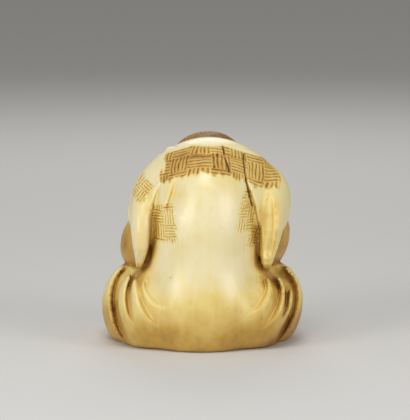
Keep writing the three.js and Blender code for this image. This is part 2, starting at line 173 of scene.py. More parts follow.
def turned(field, at, nod):
    """The field in the head's own axes: x sideways, y backwards, z up, about the head's centre."""
    c, s = math.cos(nod), math.sin(nod)

    def outer(x, y, z):
        v, w = y - at[1], z - at[2]
        return field(x - at[0], v * c - w * s, v * s + w * c)

    return outer


def stretched(field, y0, share):
    """Draws the form out from front to back: its y counts by this share, measured from y0."""
    return lambda x, y, z: field(x, y0 + (y - y0) * share, z)


def around(x, y, z, at, way):
    """How far each point is along the axis from `at`, how far from the axis, and its angle about it."""
    ahead = np.array(way, float) / np.linalg.norm(way)
    side = np.cross(ahead, (0, 0, 1))
    side /= np.linalg.norm(side)
    up = np.cross(side, ahead)
    ex, ey, ez = x - at[0], y - at[1], z - at[2]
    along, a, b = (ex * e[0] + ey * e[1] + ez * e[2] for e in (ahead, side, up))
    return along, np.sqrt(a * a + b * b), np.arctan2(a, b)


def ring(at, way, radius, thick):
    """A cord tied round the axis."""
    def field(x, y, z):
        along, away, _ = around(x, y, z, at, way)
        return np.sqrt(along ** 2 + (away - radius) ** 2) - thick

    return field


def gathered(field, at, way, count, depth, near, reach):
    """Pleats that run out from the axis, strongest at the distance `near` from it."""
    def pleated(x, y, z):
        _, away, angle = around(x, y, z, at, way)
        fade = smoothstep(0, near, away) * np.exp(-np.maximum(away - near, 0) / reach)
        return field(x, y, z) + depth * fade * np.cos(count * angle)

    return pleated


# ---------------------------------------------------------------- the robe and the body in it
def robe():
    back = ellipsoid((0, 0.9, 17.2), (8.7, 9.9, 13.6), 26)
    seat = ellipsoid((0, 3.0, 5.4), (11.2, 8.3, 7.0), 6.8)
    shoulders = ellipsoid((-0.3, -0.6, 20.0), (12.4, 7.4, 11.7), 6.5)
    return blend(2.5, blend(5, back, seat), shoulders)


def legs():
    thigh = ellipsoid((8.2, 2.0, 5.6), (5.9, 7.4, 6.2), 7.0)
    knee = ellipsoid((9.7, -3.0, 5.7), (6.0, 8.2, 6.6), 8.2)
    shin = limb((9.4, -7.6, 3.4), (1.2, -9.2, 2.1), 4.2, 3.0)
    hem = ellipsoid((0, -4, 0), (9, 7.4, 3.6))
    return blend(0.9, both(blend(0.9, blend(0.3, thigh, knee), shin)), hem)


def foot():
    """The toes of the right foot, out from under the robe."""
    sole = ellipsoid((-1.4, -12.0, 1.5), (3.4, 1.5, 1.6))
    toes = []
    for i in range(5):
        toes.append(ellipsoid((-4.2 + 0.95 * i, -12.7 - 0.08 * i, 1.2), (0.52, 0.9, 0.75 - 0.06 * i)))
    return blend(0.25, sole, union(*toes))


# Each hanging sleeve's spine, from the shoulder to its tip, and how thick it is along the way.
LEFT_SLEEVE = (
    [(7.4, -0.6, 25.4), (8.9, 1.2, 24.0), (9.7, 2.6, 21.6),
     (9.8, 3.7, 18.6), (9.7, 4.2, 15.6), (9.75, 3.9, 12.3)],
    (1.5, 1.8, 1.85, 1.65, 1.2, 0.3),
)
RIGHT_SLEEVE = (
    [(-8.0, -0.8, 25.4), (-9.5, 1.0, 23.8), (-10.1, 2.6, 20.8),
     (-9.9, 3.7, 17.7), (-9.6, 4.2, 14.4), (-9.8, 3.9, 11.9)],
    (1.5, 2.1, 2.3, 1.9, 1.2, 0.3),
)


def sleeves():
    hanging = [stretched(rope(spine, radii), 3.2, 0.62) for spine, radii in (LEFT_SLEEVE, RIGHT_SLEEVE)]
    upper_arm = limb((8.2, -2.2, 22.6), (8.9, -6.4, 20.4), 3.5, 2.7)
    forearm = limb((8.9, -6.4, 20.4), (5.2, -9.6, 17.9), 2.7, 2.3)
    cuff = ellipsoid((4.0, -10.7, 17.1), (1.9, 1.2, 1.5))
    arm = blend(1.6, upper_arm, cut(0.4, forearm, cuff))
    right_shoulder = ellipsoid((-8.8, -0.8, 21.4), (4.4, 5.0, 6.2))
    return blend(1.0, blend(1.6, both(arm), right_shoulder), *hanging)


# The collar, from the middle of the nape over each shoulder and down the chest.
LEFT_COLLAR = [
    (0, 2.3, 30.3), (3.6, 1.6, 30.1), (6.4, 0.0, 29.1),
    (8.2, -2.4, 27.0), (8.4, -5.4, 23.4), (5.0, -8.6, 18.6),
]
RIGHT_COLLAR = [
    (0, 2.3, 30.3), (-4.0, 1.7, 30.1), (-7.2, 0.2, 28.9),
    (-8.9, -2.2, 26.8), (-8.6, -5.4, 23.4), (-5.0, -8.6, 18.6),
]


def collar():
    thick = (0.56, 0.56, 0.6, 0.7, 0.75, 0.8)
    knot = ellipsoid((5.8, -0.1, 29.9), (0.75, 0.7, 0.55))
    return union(rope(LEFT_COLLAR, thick, 20), rope(RIGHT_COLLAR, thick, 20), knot)


# ---------------------------------------------------------------- the head, in its own axes
HAIR_ROOM = 0.3         # how far the hair stands off the skull


def skull(room):
    return ellipsoid((0, 0.5, 0.9), (6.2 + room, 6.8 + room, 5.8 + room))


def hairline(x, y, z):
    """Above zero on the hair's side of the hairline, from the brow down past the ears to the nape."""
    return (z - 3.1 + 0.72 * (y + 5.6) - 0.9 * np.exp(-((x / 1.6) ** 2))) * 0.8


def head():
    jaw = ellipsoid((0, -1.6, -2.3), (5.0, 4.9, 5.0))
    chin = ellipsoid((0, -4.9, -6.1), (1.8, 1.5, 1.3))
    cheek = both(ellipsoid((2.7, -4.2, -2.7), (2.1, 1.9, 1.9)))
    hollow = both(ellipsoid((2.15, -7.2, -0.1), (1.7, 1.1, 1.1)))
    face = cut(0.7, blend(1.3, skull(0), jaw, chin, cheek), hollow)
    brow = both(rope([(1.0, -6.15, 1.0), (2.2, -6.0, 1.4), (3.8, -5.0, 0.9)], (0.24, 0.38, 0.26), 8))
    eyelid = both(ellipsoid((2.15, -5.5, -0.35), (1.3, 0.85, 0.72)))
    bridge = limb((0, -6.2, 0.9), (0, -7.0, -1.9), 0.42, 0.7)
    tip = ellipsoid((0, -7.1, -2.2), (0.8, 0.8, 0.7))
    wing = both(ellipsoid((0.85, -6.6, -2.5), (0.5, 0.6, 0.45)))
    nose = blend(0.3, bridge, tip, wing)
    upper_line = [(0, -6.55, -4.1), (0.7, -6.45, -4.05), (1.5, -5.95, -4.3)]
    lower_line = [(-1.05, -6.05, -4.6), (0, -6.35, -4.75), (1.05, -6.05, -4.6)]
    upper_lip = both(rope(upper_line, (0.33, 0.32, 0.18), 8))
    lower_lip = rope(lower_line, (0.25, 0.38, 0.25), 8)
    features = blend(0.45, face, brow, eyelid, nose, upper_lip, lower_lip)
    hair = cut(0.25, skull(HAIR_ROOM), hairline)
    rim = rope([
        (5.6, -1.5, 0.0), (6.4, -0.9, 1.2), (6.7, 0.2, 1.4),
        (6.7, 1.0, 0.4), (6.3, 0.7, -1.2), (5.8, -0.1, -2.4),
    ], (0.4, 0.4))
    lobe = ellipsoid((5.75, -0.4, -2.9), (0.65, 0.75, 1.0))
    shell = ellipsoid((5.7, -0.1, -0.6), (0.6, 1.2, 1.7))
    ear = both(blend(0.3, rim, lobe, shell))
    return turned(blend(0.2, features, hair, ear), HEAD_AT, HEAD_NOD)


# ---------------------------------------------------------------- the hands and the sack
def hands():
    palm = ellipsoid((3.8, -10.2, 17.0), (1.9, 1.8, 1.25))
    fingers = []
    for i in range(4):
        x, short = 2.25 + 0.98 * i, (0.15, 0, 0.1, 0.5)[i]
        fingers.append(rope(
            [(x, -10.9, 17.1), (x, -12.1, 16.2), (0.97 * x, -12.7, 14.9), (0.95 * x, -12.9, 13.6 + short)],
            (0.56, 0.55, 0.52, 0.4), 9,
        ))
    thumb = rope([(2.6, -10.4, 17.3), (1.5, -11.4, 17.2), (0.7, -12.2, 16.3)], (0.62, 0.6, 0.46), 7)
    return both(blend(0.25, palm, union(*fingers), thumb))


# Where the sack is tied, and the way that its mouth points.
KNOT_AT = (-2.0, -12.9, 11.2)
KNOT_WAY = (-0.44, -0.32, -0.84)


def sack():
    middle = ellipsoid((0, -6.0, 10.4), (10.4, 7.2, 7.2), 6.6)
    left = ellipsoid((8.2, -3.8, 14.4), (4.9, 6.8, 6.0), 4.6)
    right = ellipsoid((-8.1, -3.8, 16.4), (5.2, 6.8, 5.4), 6.4)
    body = gathered(blend(2.5, middle, left, right), KNOT_AT, KNOT_WAY, 11, 0.3, 1.8, 3.0)
    at, way = np.array(KNOT_AT), np.array(KNOT_WAY)
    neck = limb(at + (0.4, 1.6, 0.6), at + 0.6 * way, 1.5, 0.95)
    opening = ellipsoid(at + 3.6 * way, (1.0, 1.0, 1.0))
    frill = cut(0.2, limb(at + 0.5 * way, at + 1.9 * way, 0.9, 1.6), opening)
    mouth = gathered(blend(0.5, neck, frill), KNOT_AT, KNOT_WAY, 9, 0.1, 1.2, 9)
    return blend(0.5, body, blend(0.15, mouth, ring(at + 0.5 * way, KNOT_WAY, 1.0, 0.34)))


# ---------------------------------------------------------------- folds
# A fold is a groove along a curve, deepest where the curve starts. The cloth on its outer side,
# away from the middle of the figure, stands up as a lip. Its points are given as (x, z), as they
# are seen from behind or from the front, and are then laid on the surface. After them come its
# width, its depth and its lip.
BEHIND, FRONT = 1, -1
FOLDS = [
    # the left leg from behind: a fan of folds from the hip, the first one along the rim of the knee
    (BEHIND, [
        (11.4, 11.8), (12.9, 10.6), (13.8, 8.6), (13.8, 5.8), (13.0, 3.2), (11.7, 1.0), (10.9, -0.8),
    ], 0.65, 1.9, 1.0),
    (BEHIND, [(10.3, 11.6), (11.3, 10.0), (11.5, 8.2), (11.0, 5.8), (9.6, 3.4)], 0.7, 0.9, 1.1),
    (BEHIND, [(9.9, 11.6), (9.8, 9.4), (9.0, 7.2), (7.9, 5.6), (6.2, 4.0)], 0.75, 1.2, 1.3),
    (BEHIND, [(8.8, 11.6), (8.6, 9.6), (7.4, 8.1), (5.2, 7.3)], 0.75, 1.1, 1.2),
    # the right leg from behind
    (BEHIND, [
        (-11.5, 12.0), (-13.2, 10.5), (-14.3, 8.4), (-14.3, 5.8), (-13.2, 3.2), (-11.8, 1.0), (-11.0, -0.8),
    ], 0.6, 1.8, 1.0),
    (BEHIND, [(-11.0, 11.8), (-12.7, 9.9), (-13.0, 8.0), (-12.6, 6.0), (-11.3, 3.6)], 0.6, 0.9, 1.1),
    (BEHIND, [(-10.4, 11.4), (-11.7, 9.2), (-11.5, 7.1), (-10.5, 5.2), (-8.6, 3.2)], 0.75, 1.2, 1.3),
    (BEHIND, [(-9.0, 11.6), (-9.6, 9.5), (-8.8, 7.6), (-6.6, 5.8)], 0.75, 1.2, 1.2),
    # the gaps between the hanging sleeves and the back, from the sleeves' tips up
    (BEHIND, [
        (9.6, 11.6), (8.7, 14.6), (8.2, 17.0), (8.1, 20.5), (7.7, 23.4), (6.5, 26.8),
    ], 0.35, 1.2, 0.5),
    (BEHIND, [
        (-8.8, 11.2), (-8.7, 14.4), (-8.3, 17.6), (-7.7, 20.6), (-6.8, 23.8), (-5.4, 27.0),
    ], 0.3, 1.3, 0.5),
    # short folds under the shoulders
    (BEHIND, [(6.0, 21.4), (5.4, 23.4), (4.9, 25.2), (4.3, 27.4)], 1.3, 0.5, 0.4),
    (BEHIND, [(-9.8, 14.0), (-10.2, 18.0), (-10.1, 21.4), (-9.3, 25.2)], 0.6, 1.2, 0.3),
    # the dark lines under the collar
    (BEHIND, [(-1.2, 29.8), (0, 29.85), (2.6, 29.7), (5.4, 28.9), (7.4, 27.5)], 0.16, 0.45, 0),
    (BEHIND, [(1.2, 29.8), (0, 29.85), (-2.8, 29.7), (-5.8, 28.9), (-8.6, 27.2)], 0.16, 0.45, 0),
    # the sleeves from the front
    (FRONT, [(9.6, 24.0), (9.2, 21.6), (7.4, 19.6)], 0.4, 0.8, 0.4),
    (FRONT, [(10.4, 21.4), (9.6, 19.2), (7.6, 17.9)], 0.4, 0.8, 0.4),
    (FRONT, [(-10.0, 24.0), (-9.4, 21.6), (-7.4, 19.6)], 0.4, 0.8, 0.4),
    (FRONT, [(-10.8, 21.4), (-9.8, 19.2), (-7.7, 17.9)], 0.4, 0.8, 0.4),
    # the knees from the front
    (FRONT, [(5.6, 7.2), (7.8, 6.4), (10.2, 4.6), (12.4, 1.8)], 0.5, 1.0, 0.5),
    (FRONT, [(3.2, 5.2), (5.6, 4.4), (7.8, 2.6), (9.0, 0.8)], 0.5, 1.0, 0.5),
    (FRONT, [(9.4, 8.2), (11.4, 7.4), (12.8, 5.2)], 0.5, 0.9, 0.5),
    (FRONT, [(-5.0, 6.6), (-7.6, 6.0), (-10.2, 3.8), (-11.6, 1.2)], 0.5, 1.0, 0.5),
    (FRONT, [(-9.0, 8.0), (-11.0, 7.6), (-13.0, 5.8), (-13.8, 3.4)], 0.5, 1.0, 0.5),
]


def lay_on(field, seen_from, seen, steps=16):
    """Lays points on the field's surface by walking in from one side, and returns the curve there."""
    x, z = np.array(seen, float).T
    y = np.full(len(x), BLOCK_HIGH[1] * seen_from)
    for _ in range(80):
        y = y - 0.8 * seen_from * field(x, y, z)
    return smooth_curve(np.stack([x, y, z], axis=1), steps)


def nearest_on(along, x, y, z):
    """How far each point is from the curve, where along it, and how far to its outer side."""
    best = np.full(x.shape, np.inf)
    place = np.zeros(x.shape)
    side = np.zeros(x.shape)
    for i in range(1, len(along)):
        a, way = along[i - 1], along[i] - along[i - 1]
        ex, ey, ez = x - a[0], y - a[1], z - a[2]
        t = np.clip((ex * way[0] + ey * way[1] + ez * way[2]) / (way @ way), 0, 1)
        square = (ex - t * way[0]) ** 2 + (ey - t * way[1]) ** 2 + (ez - t * way[2]) ** 2
        closer = square < best
        best = np.where(closer, square, best)
        place = np.where(closer, (i - 1 + t) / (len(along) - 1), place)
        outward = (ex * way[2] - ez * way[0]) / math.hypot(way[0], way[2]) * np.sign(a[0] * way[2])
        side = np.where(closer, outward, side)
    return np.sqrt(best), place, side


def carve(field, folds):
    cuts = [(lay_on(field, seen_from, seen), *shape) for seen_from, seen, *shape in folds]
    reach = 4 * LIP_REACH

    def carved(x, y, z):
        value = np.array(field(x, y, z), float)
        shallow = np.abs(value) < 3
        for along, width, depth, lip in cuts:
            close = shallow
            for c, low, high in zip((x, y, z), along.min(axis=0) - reach, along.max(axis=0) + reach):
                close = close & (c > low) & (c < high)
            if not close.any():
                continue
            away, place, side = nearest_on(along, x[close], y[close], z[close])
            taper = smoothstep(0, 0.12, place) * smoothstep(1, 0.5, place)
            slope = width * (2.0 - 1.5 * smoothstep(-0.25, 0.25, side))
            groove = depth * np.exp(-away / slope)
            raised = lip * smoothstep(0, 0.6, side) * np.exp(-away / LIP_REACH)
            value[close] += taper * (groove - raised)
        return value

    return carved


# ---------------------------------------------------------------- the whole carving
NECKLINE = ellipsoid((0, -7.0, 26.5), (7.9, 6.4, 6.2))
HEAD = head()
HANDS = hands()
SACK = sack()


def cord_passage():
    """Two holes in the underside for the cord, joined by a bend inside."""
    half = CORD_SPACING / 2
    bend = [(-half, 3, -1), (-half, 3, 1.2), (0, 3, CORD_DEPTH), (half, 3, 1.2), (half, 3, -1)]
    return rope(bend, (CORD_RADIUS, CORD_RADIUS))


def figure(lean):
    """The whole carving's field."""
    cloth = blend(1.8, robe(), legs())
    neck = ellipsoid((0, -2.8, 22.8), (7.3, 4.4, 3.4))
    opened = blend(0.6, cut(0.8, blend(0.5, cloth, sleeves()), NECKLINE), neck)
    dressed = blend(0.25, opened, collar())
    folded = carve(blend(0.3, dressed, SACK), FOLDS)
    whole = blend(0.2, folded, HEAD, HANDS, foot())
    flat = cut(BASE_EDGE, whole, lambda x, y, z: z)
    drilled = cut(0.4, flat, cord_passage())
    return lambda x, y, z: drilled(x + lean * z, y, z)


# ---------------------------------------------------------------- meshing
def surface_net(field, low, high, size):
    """One vertex in each cell that the surface crosses, and a quad for each crossed grid edge."""
    axes = [np.arange(a, b, size, dtype=np.float32) for a, b in zip(low, high)]
    values = field(*np.meshgrid(*axes, indexing="ij"))
    shape = np.array(values.shape)
    total = np.zeros((3, *(shape - 1)))
    crossed = np.zeros(shape - 1)
    corners = [np.array([c & 1, c >> 1 & 1, c >> 2]) for c in range(8)]

    def at(corner):
        return values[tuple(slice(c, n - 1 + c) for c, n in zip(corner, shape))]

    for a in corners:
        for b in corners:
            if (b - a).min() < 0 or (b - a).sum() != 1:
                continue
            start, end = at(a), at(b)
            crosses = (start > 0) != (end > 0)
            t = np.where(crosses, start / np.where(crosses, start - end, 1), 0)
            crossed += crosses
            for n in range(3):
                total[n] += crosses * (a[n] + t * (b - a)[n])

    cells = np.argwhere(crossed > 0)
    name = np.full(shape - 1, -1)
    name[tuple(cells.T)] = np.arange(len(cells))
    middle = (total[:, crossed > 0] / crossed[crossed > 0]).T
    points = np.asarray(low) + size * (cells + middle)

    quads = []
    for axis, (u, w) in enumerate([(1, 2), (2, 0), (0, 1)]):
        step = np.eye(3, dtype=int)
        inner = [slice(1, n - 1) for n in shape]
        ahead = list(inner)
        ahead[axis] = slice(2, shape[axis])
        here, there = values[tuple(inner)], values[tuple(ahead)]
        for leaves in (True, False):
            edge = np.argwhere((here <= 0) & (there > 0) if leaves else (here > 0) & (there <= 0)) + 1
            beside = [edge, edge - step[u], edge - step[u] - step[w], edge - step[w]]
            quad = np.stack([name[tuple(c.T)] for c in beside], axis=1)
            quads.append(quad if leaves else quad[:, ::-1])
    quads = np.vstack(quads)
    return points, np.vstack([quads[:, [0, 1, 2]], quads[:, [0, 2, 3]]])


def slope_of(field, points, reach=0.02):
    """The field's value and its gradient at each point."""
    x, y, z = points.T
    gradient = np.stack([
        field(x + reach, y, z) - field(x - reach, y, z),
        field(x, y + reach, z) - field(x, y - reach, z),
        field(x, y, z + reach) - field(x, y, z - reach),
    ], axis=1) / (2 * reach)
    return field(x, y, z), gradient


def settled(field, points, rounds=2, longest=0.15):
    """The points moved onto the surface, in short steps."""
    for _ in range(rounds):
        value, gradient = slope_of(field, points)
        move = -value[:, None] * gradient / np.maximum((gradient ** 2).sum(axis=1), 0.2)[:, None]
        length = np.linalg.norm(move, axis=1)
        points = points + move * np.minimum(1, longest / np.maximum(length, 1e-9))[:, None]
    return points


def refined(points, triangles, wanted):
    """Splits each edge whose two ends are wanted, and the triangles beside it to match."""
    ends = np.sort(triangles[:, [[0, 1], [1, 2], [2, 0]]], axis=2)
    split = wanted[ends].all(axis=2)
    unique, which = np.unique(ends[split], axis=0, return_inverse=True)
    middle = np.full(split.shape, -1)
    middle[split] = len(points) + which.ravel()
    points = np.vstack([points, points[unique].mean(axis=1)])

    result = [triangles[~split.any(axis=1)]]
    for turn in range(3):
        order = [(turn + n) % 3 for n in range(3)]
        a, b, c = triangles[:, order].T
        ab, bc, ca = middle[:, order].T
        one = (ab >= 0) & (bc < 0) & (ca < 0)
        two = (ab >= 0) & (bc >= 0) & (ca < 0)
        result += [np.stack(t, axis=1)[one] for t in [(a, ab, c), (ab, b, c)]]
        result += [np.stack(t, axis=1)[two] for t in [(a, ab, c), (ab, bc, c), (ab, b, bc)]]
    a, b, c = triangles.T
    ab, bc, ca = middle.T
    full = split.all(axis=1)
    result += [np.stack(t, axis=1)[full] for t in [(a, ab, ca), (ab, b, bc), (ca, bc, c), (ab, bc, ca)]]
    return points, np.vstack(result)


# ---------------------------------------------------------------- finer relief
BLOCK = 2.7             # one block of the woven pattern
LINE_PITCH = 0.53       # from one of its lines to the next
LINE_HALF = 0.11        # half the width of a line
BAND_FROM = 0.75        # from the collar's middle line to the woven band
BAND_WIDTH = 5.4        # how far the band comes down the back
WEAVE_DEPTH = 0.13
CRACK_DEPTH = 0.25
STRAND_DEPTH = 0.11
LASH_DEPTH = 0.08


def wobble(a, b, seed=0.0):
    """A slow, irregular wave between -1 and 1 over two coordinates."""
    waves = [(1.7, 2.3, seed), (3.1, -1.3, 2 * seed), (0.9, 4.1, -seed)]
    return sum(np.sin(p * a + q * b + start) for p, q, start in waves) / 3


def lines(across, along, seed=0.0):
    """Parallel cut lines at the pitch: one on a line, and zero between them."""
    shifted = across / LINE_PITCH + 0.16 * wobble(along, across, seed)
    away = np.abs(shifted - np.floor(shifted) - 0.5) * LINE_PITCH
    return np.exp(-((away / LINE_HALF) ** 2)) * (0.8 + 0.2 * wobble(across * 2, along * 2, seed + 1))


def woven(u, v, upright_first, seed=0.0):
    """Basket weave: blocks of lines, by turns along u and along v."""
    column, row = np.floor(u / BLOCK), np.floor(v / BLOCK)
    upright = (column + row) % 2 == (0 if upright_first else 1)
    return np.where(upright, lines(u - column * BLOCK, v, seed), lines(v - row * BLOCK, u, seed + 2))


def nape_weave(x, y, z):
    """The woven band under the collar, and how far it covers: it follows the collar round."""
    steps = 60
    curve = smooth_curve(RIGHT_COLLAR[3:0:-1] + LEFT_COLLAR[:4], steps)
    away, place, _ = nearest_on(curve, x, y, z)
    place = place * steps
    lengths = np.append(0, np.cumsum(np.linalg.norm(np.diff(curve, axis=0), axis=1)))
    u = np.interp(place, np.arange(steps + 1), lengths) - np.interp(0, curve[:, 0], lengths)
    v = away - BAND_FROM
    over_collar = z - np.interp(place, np.arange(steps + 1), curve[:, 2])
    ragged = 0.5 * wobble(2.2 * u, 0.4 * v, 5)
    low_edge = smoothstep(BAND_WIDTH + 0.2 + ragged, BAND_WIDTH - 0.5 + ragged, v)
    right_end = smoothstep(-10.9 + ragged, -10.2 + ragged, u)
    left_end = smoothstep(6.4 + ragged, 5.9 + ragged, u)
    top_edge = smoothstep(0, 0.15, v) * smoothstep(0.75, 0.55, over_collar)
    cover = top_edge * low_edge * left_end * right_end * (y > -1.5)
    return cover * woven(u - 2.28, v + 1.15, False), cover


# Patches of the pattern elsewhere on the robe: the side each is seen from, its middle as (x, z), its
# half width and half height, how it is turned, and whether its first block is upright.
PATCHES = [
    (BEHIND, (6.3, 19.6), (1.6, 2.7), -0.12, False),
    (BEHIND, (-6.3, 20.4), (1.1, 1.9), 0.1, False),
    (BEHIND, (-7.5, 17.4), (0.6, 1.5), 0.25, False),
    (BEHIND, (-6.2, 23.2), (0.6, 1.4), 0.2, False),
    (BEHIND, (10.1, 24.4), (1.3, 1.6), 0.65, True),
    (FRONT, (8.6, 22.4), (2.0, 1.8), 0.5, True),
    (FRONT, (-9.0, 22.4), (2.0, 1.8), -0.5, False),
    (FRONT, (8.6, 4.6), (1.8, 1.6), -0.3, True),
]


def patch_weave(x, y, z):
    """The pattern in the patches, and how far they cover."""
    total, cover = np.zeros(x.shape), np.zeros(x.shape)
    for seen_from, (px, pz), (half_u, half_v), turn, upright_first in PATCHES:
        c, s = math.cos(turn), math.sin(turn)
        u, v = (x - px) * c + (z - pz) * s, (z - pz) * c - (x - px) * s
        ragged = 0.3 * wobble(3 * u, 3 * v, px)
        fade = smoothstep(half_u + 0.3, half_u - 0.2, np.abs(u) + ragged)
        fade *= smoothstep(half_v + 0.3, half_v - 0.2, np.abs(v) - ragged) * (seen_from * y > 0.5)
        pattern = woven(1.35 * u, 1.25 * v, upright_first, px)
        total, cover = np.maximum(total, fade * pattern), np.maximum(cover, fade)
    return total, cover


# Two cracks in the ivory, seen from behind as the folds are.
CRACKS = [
    [(-2.3, 31.0), (-2.5, 30.2), (-2.75, 29.2), (-3.2, 28.2), (-3.5, 27.2)],
    [(-5.5, 29.7), (-5.7, 28.0), (-6.1, 25.8), (-6.7, 23.4), (-7.2, 21.6)],
]


def cracks(x, y, z, half_width=0.15):
    """One in the middle of a crack, and zero off it."""
    total = np.zeros(x.shape)
    for seen in CRACKS:
        away, place, _ = nearest_on(lay_on(UPRIGHT, BEHIND, seen, 24), x, y, z)
        total = np.maximum(total, np.exp(-((away / half_width) ** 2)) * smoothstep(1, 0.9, place))
    return total


def head_axes(x, y, z):
    c, s = math.cos(HEAD_NOD), math.sin(HEAD_NOD)
    v, w = y - HEAD_AT[1], z - HEAD_AT[2]
    return x - HEAD_AT[0], v * c - w * s, v * s + w * c


def hair_cover(x, y, z):
    """One on the hair, and zero off it."""
    a, b, c = head_axes(x, y, z)
    return smoothstep(0.0, 0.25, hairline(a, b, c)) * smoothstep(0.2, 0.05, skull(HAIR_ROOM)(a, b, c))


def strands(x, y, z):
    """Combed hair: grooves that run out from the crown and double in number on the way."""
    a, b, c = head_axes(x, y, z)
    away = np.hypot(a, b - 2.2)
    angle = np.arctan2(a, b - 2.2) + 0.05 * wobble(away, 2 * c)
    few, many = np.cos(44 * angle), np.cos(88 * angle + 0.6)
    wave = few + (many - few) * smoothstep(2.6, 3.4, away)
    return 0.5 - 0.5 * wave


def lash_line(x, y, z):
    """The closed eyes' lash lines, as one on the line and zero off it."""
    a, b, c = head_axes(np.abs(x), y, z)
    curve = smooth_curve([
        (0.95, -6.3, -0.5), (1.5, -6.45, -0.8), (2.2, -6.35, -0.9), (2.9, -5.9, -0.8), (3.4, -5.4, -0.5),
    ], 12)
    away, _, _ = nearest_on(curve, a, b, c)
    return np.exp(-((away / 0.16) ** 2))


# ---------------------------------------------------------------- the mesh, finer where there is detail
UPRIGHT = figure(lean=0)
carving = figure(LEAN)

COVERED = 0.02          # a cover above this is worth finer triangles
BACK_FROM = -4          # the second splitting is kept to the back, which has the finest relief
FOLD_SIDES = 0.9        # how far from a fold's groove the triangles are split once
GROOVE_SIDES = 0.42     # and twice
CRACK_SIDES = 0.4       # the same for a crack


def upright(points):
    """The points as they would be if the figure didn't lean."""
    x, y, z = points.T
    return x + LEAN * z, y, z


def split_where(points, triangles, cover):
    count = len(points)
    points, triangles = refined(points, triangles, cover > COVERED)
    points[count:] = settled(carving, points[count:], 1)
    return points, triangles


def pattern_cover(points):
    """Above zero on the woven pattern, the hair and the cracks."""
    x, y, z = upright(points)
    shown_hair = hair_cover(x, y, z) * (y > BACK_FROM)
    weave_cover = np.maximum(nape_weave(x, y, z)[1], patch_weave(x, y, z)[1])
    return np.maximum.reduce([weave_cover, shown_hair, cracks(x, y, z, CRACK_SIDES)])


def beside_folds(points, reach):
    """One within reach of a fold's groove, and zero elsewhere."""
    x, y, z = upright(points)
    beside = np.zeros(len(points))
    for seen_from, seen, *_ in FOLDS:
        away, _, _ = nearest_on(lay_on(UPRIGHT, seen_from, seen, 10), x, y, z)
        beside = np.maximum(beside, away < reach)
    return beside


def detail_cover(points):
    """Above zero on the head, the hands, the sack's mouth, the collar and the folds."""
    x, y, z = upright(points)
    mouth = (around(x, y, z, KNOT_AT, KNOT_WAY)[1] < 2.6) & (y < -10)
    near = (HEAD(x, y, z) < 0.25) | (HANDS(x, y, z) < 0.3) | mouth | (collar()(x, y, z) < 0.3)
    return np.maximum(beside_folds(points, FOLD_SIDES), near)


points, triangles = surface_net(carving, BLOCK_LOW, BLOCK_HIGH, SAMPLE)
points = settled(carving, points)
cover = np.maximum(detail_cover(points), pattern_cover(points))
points, triangles = split_where(points, triangles, cover)
cover = np.maximum(beside_folds(points, GROOVE_SIDES), pattern_cover(points)) * (points[:, 1] > BACK_FROM)
points, triangles = split_where(points, triangles, cover)

# ---------------------------------------------------------------- relief and stain at each point
x, y, z = upright(points)
_, normal = slope_of(carving, points)
normal /= np.linalg.norm(normal, axis=1)[:, None]

# How hollow the place is, felt with probes of three lengths: each length and its share. It darkens the
# colour in the hollows as painted shade, together with the stain that gathers there.
HOLLOW_SHADE_PROBES = [(0.5, 0.45), (1.3, 0.40), (3.0, 0.15)]
hollow_shade_and_stain = np.zeros(len(points))
for reach, share in HOLLOW_SHADE_PROBES:
    hollow_shade_and_stain += share * np.clip(1 - carving(*(points + normal * reach).T) / reach, 0, 1)

nape, nape_cover = nape_weave(x, y, z)
patches, patches_cover = patch_weave(x, y, z)
weave = np.maximum(nape, patches)
crack = cracks(x, y, z)
hair = hair_cover(x, y, z)
strand = hair * strands(x, y, z)
lash = lash_line(x, y, z) * (HEAD(x, y, z) < 0.1)
on_sack = smoothstep(0.35, 0.1, SACK(x, y, z)) * (HANDS(x, y, z) > 0.3)

relief = WEAVE_DEPTH * weave + CRACK_DEPTH * crack + STRAND_DEPTH * strand + LASH_DEPTH * lash
points = points - normal * relief[:, None]

# The honey tint: deeper towards the base and the figure's right, and where the folds meet at the hips. Its
# deepening towards the base is partly the ivory's yellower tone and partly painted shade, where the lower
# figure faces down away from the light.
HIP_AT = (10.0, 4.0, 11.2)
hip_away = np.hypot(np.hypot(np.abs(x + 0.3) - HIP_AT[0], z - HIP_AT[2]), 0.5 * (y - HIP_AT[1]))
honey_and_low_shade = 1.3 * smoothstep(13, 0, z) + 0.3 * smoothstep(2, 12, -x) + 0.9 * np.exp(-((hip_away / 1.6) ** 2))
attributes = {
    "hollow_shade_and_stain": hollow_shade_and_stain,
    "cut": np.maximum.reduce([weave, 1.7 * crack, 0.9 * strand, lash]),
    "tint_and_low_shade": np.maximum.reduce([0.9 * nape_cover, 0.3 * patches_cover, 1.5 * hair, 1.4 * on_sack, honey_and_low_shade]),
}

# The box of the mesh is set into the CAD solid's own box.
low, high = points.min(axis=0), points.max(axis=0)
cad_low, cad_high = np.array(CAD_LOW), np.array(CAD_HIGH)
placed = cad_low + (points - low) * (cad_high - cad_low) / (high - low)
METRES_PER_MM = (cad_high[2] - cad_low[2]) / (high[2] - low[2])


def mesh_object(name, points, triangles):
    mesh = bpy.data.meshes.new(name)
    mesh.from_pydata(points.tolist(), [], triangles.tolist())
    mesh.polygons.foreach_set("use_smooth", [True] * len(mesh.polygons))
    obj = bpy.data.objects.new(name, mesh)
    bpy.context.scene.collection.objects.link(obj)
    return obj


netsuke = mesh_object("ivory_carving", placed, triangles)
for name, values in attributes.items():
    netsuke.data.attributes.new(name, "FLOAT", "POINT").data.foreach_set("value", values.astype(np.float32))


# ---------------------------------------------------------------- material
# The darker tones paint the shade in the hollows as well as the stain.
IVORY_STAIN_AND_SHADE_TONES = [                     # from the polished high places to the deepest cuts
    (0.00, (0.90, 0.80, 0.50)),
    (0.20, (0.84, 0.66, 0.23)),
    (0.42, (0.64, 0.40, 0.08)),
    (0.70, (0.34, 0.15, 0.02)),
    (1.00, (0.06, 0.02, 0.004)),
]


